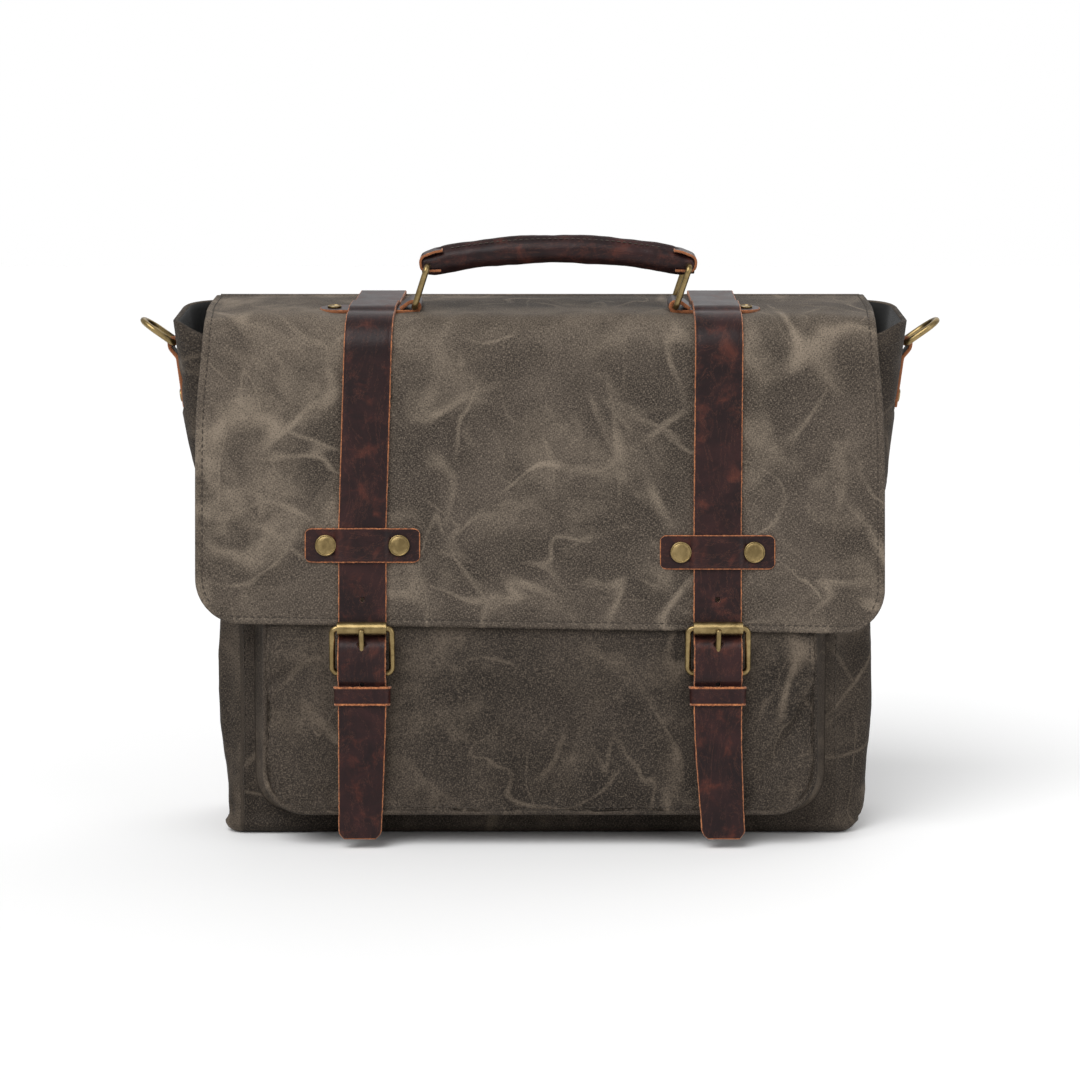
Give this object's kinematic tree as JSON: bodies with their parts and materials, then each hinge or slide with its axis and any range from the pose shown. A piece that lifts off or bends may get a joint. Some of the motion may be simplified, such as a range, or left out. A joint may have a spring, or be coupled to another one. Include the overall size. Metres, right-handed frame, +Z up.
{
  "type": "satchel bag",
  "caption": "Waxed-canvas satchel with a full flap, front pocket, leather buckle straps, leather carry handle and side rings for a shoulder strap.",
  "frame": {"origin": "middle of the whole object's plan outline, at the base it stands on", "axes": "+Z up, +Y towards the back panel and flap hinge, +X to the right seen from the front"},
  "size_m": [0.4798, 0.1393, 0.3539],
  "materials": {
    "waxed_canvas": "waxed cotton canvas, mottled and creased",
    "lining_cloth": "dark woven lining",
    "stiffener_board": "plain stiff board",
    "padded_divider": "padded cloth panel",
    "handle_cord": "twisted cord filler",
    "strap_leather": "oiled pull-up leather with raw tan edges",
    "antique_brass": "antiqued, worn"
  },
  "bodies": {
    "bag": {"back_panel": "waxed_canvas", "base_board": "stiffener_board", "base_panel": "waxed_canvas", "front_panel": "waxed_canvas", "inner_pocket": "lining_cloth", "laptop_divider": "padded_divider", "lining": "lining_cloth", "pocket_front": "waxed_canvas", "pocket_gusset": "waxed_canvas", "pocket_piping": "waxed_canvas", "side_gusset_left": "waxed_canvas", "side_gusset_right": "waxed_canvas", "side_tab_left": "strap_leather", "side_tab_right": "strap_leather", "side_tab_rivet_left": "antique_brass", "side_tab_rivet_right": "antique_brass", "snap_stud_left": "antique_brass", "snap_stud_right": "antique_brass"},
    "flap_top": {"anchor_rivet_left": "antique_brass", "anchor_rivet_right": "antique_brass", "anchor_tab_left": "strap_leather", "anchor_tab_right": "strap_leather", "flap_top_canvas": "waxed_canvas", "flap_top_lining": "lining_cloth", "strap_top_left": "strap_leather", "strap_top_right": "strap_leather"},
    "flap_front": {"chape_left": "strap_leather", "chape_right": "strap_leather", "cross_tab_left": "strap_leather", "cross_tab_right": "strap_leather", "cross_tab_rivets_left": "antique_brass", "cross_tab_rivets_right": "antique_brass", "flap_front_canvas": "waxed_canvas", "flap_front_lining": "lining_cloth", "snap_socket_left": "antique_brass", "snap_socket_right": "antique_brass", "strap_front_left": "strap_leather", "strap_front_right": "strap_leather"},
    "buckle_left": {"buckle_frame_left": "antique_brass"},
    "roller_left": {"roller_left": "antique_brass"},
    "prong_left": {"prong_left": "antique_brass"},
    "keeper_left": {"keeper_left": "strap_leather"},
    "buckle_right": {"buckle_frame_right": "antique_brass"},
    "roller_right": {"roller_right": "antique_brass"},
    "prong_right": {"prong_right": "antique_brass"},
    "keeper_right": {"keeper_right": "strap_leather"},
    "handle_ring_left": {"handle_ring_left": "antique_brass"},
    "handle": {"handle_core": "handle_cord", "handle_loop_left": "strap_leather", "handle_loop_right": "strap_leather", "handle_wrap": "strap_leather"},
    "handle_ring_right": {"handle_ring_right": "antique_brass"},
    "side_ring_left": {"side_ring_left": "antique_brass"},
    "side_ring_right": {"side_ring_right": "antique_brass"}
  },
  "joints": [
    {"name": "flap_hinge", "type": "hinge", "parent": "bag", "child": "flap_top", "pos_m": [0, 0.07, 0.316], "axis": [-1, 0, 0], "range_deg": [0, 180]},
    {"name": "flap_fold", "type": "hinge", "parent": "flap_top", "child": "flap_front", "pos_m": [0, -0.03265, 0.30296], "axis": [-1, 0, 0], "range_deg": [0, 120]},
    {"name": "buckle_left_pivot", "type": "hinge", "parent": "flap_front", "child": "buckle_left", "pos_m": [-0.103, -0.06089, 0.10226], "axis": [1, 0, 0], "range_deg": [0, 4]},
    {"name": "roller_left_spin", "type": "hinge", "parent": "buckle_left", "child": "roller_left", "pos_m": [-0.103, -0.06202, 0.12855], "axis": [1, 0, 0], "continuous": true},
    {"name": "prong_left_lift", "type": "hinge", "parent": "buckle_left", "child": "prong_left", "pos_m": [-0.103, -0.06089, 0.10226], "axis": [1, 0, 0], "range_deg": [0, 4]},
    {"name": "keeper_left_slide", "type": "slide", "parent": "flap_front", "child": "keeper_left", "axis": [0, -0.1132, -0.9936], "range_m": [0, 0.01]},
    {"name": "buckle_right_pivot", "type": "hinge", "parent": "flap_front", "child": "buckle_right", "pos_m": [0.103, -0.06089, 0.10226], "axis": [1, 0, 0], "range_deg": [0, 4]},
    {"name": "roller_right_spin", "type": "hinge", "parent": "buckle_right", "child": "roller_right", "pos_m": [0.103, -0.06202, 0.12855], "axis": [1, 0, 0], "continuous": true},
    {"name": "prong_right_lift", "type": "hinge", "parent": "buckle_right", "child": "prong_right", "pos_m": [0.103, -0.06089, 0.10226], "axis": [1, 0, 0], "range_deg": [0, 4]},
    {"name": "keeper_right_slide", "type": "slide", "parent": "flap_front", "child": "keeper_right", "axis": [0, -0.1132, -0.9936], "range_m": [0, 0.01]},
    {"name": "handle_ring_left_swing", "type": "hinge", "parent": "flap_top", "child": "handle_ring_left", "pos_m": [-0.074, 0.00164, 0.31376], "axis": [0, 0.9925, 0.1219], "range_deg": [-73, 37]},
    {"name": "handle_swing", "type": "hinge", "parent": "handle_ring_left", "child": "handle", "pos_m": [-0.06628, -0.00126, 0.33736], "axis": [0, 0.9925, 0.1219], "range_deg": [-37, 73]},
    {"name": "handle_ring_right_swing", "type": "hinge", "parent": "flap_top", "child": "handle_ring_right", "pos_m": [0.08, 0.00164, 0.31376], "axis": [0, 0.9925, 0.1219], "range_deg": [-73, 37]},
    {"name": "side_ring_left_swing", "type": "hinge", "parent": "bag", "child": "side_ring_left", "pos_m": [-0.21905, 0.0198, 0.29047], "axis": [0, 1, 0], "range_deg": [-123, 47]},
    {"name": "side_ring_right_swing", "type": "hinge", "parent": "bag", "child": "side_ring_right", "pos_m": [0.21905, 0.0198, 0.29047], "axis": [0, -1, 0], "range_deg": [-123, 47]}
  ],
  "couplings": [
    {"joint": "flap_fold", "follows": "flap_hinge", "ratio": 0.66667},
    {"joint": "handle_swing", "follows": "handle_ring_left_swing", "ratio": -1},
    {"joint": "handle_ring_right_swing", "follows": "handle_ring_left_swing", "ratio": 1}
  ]
}
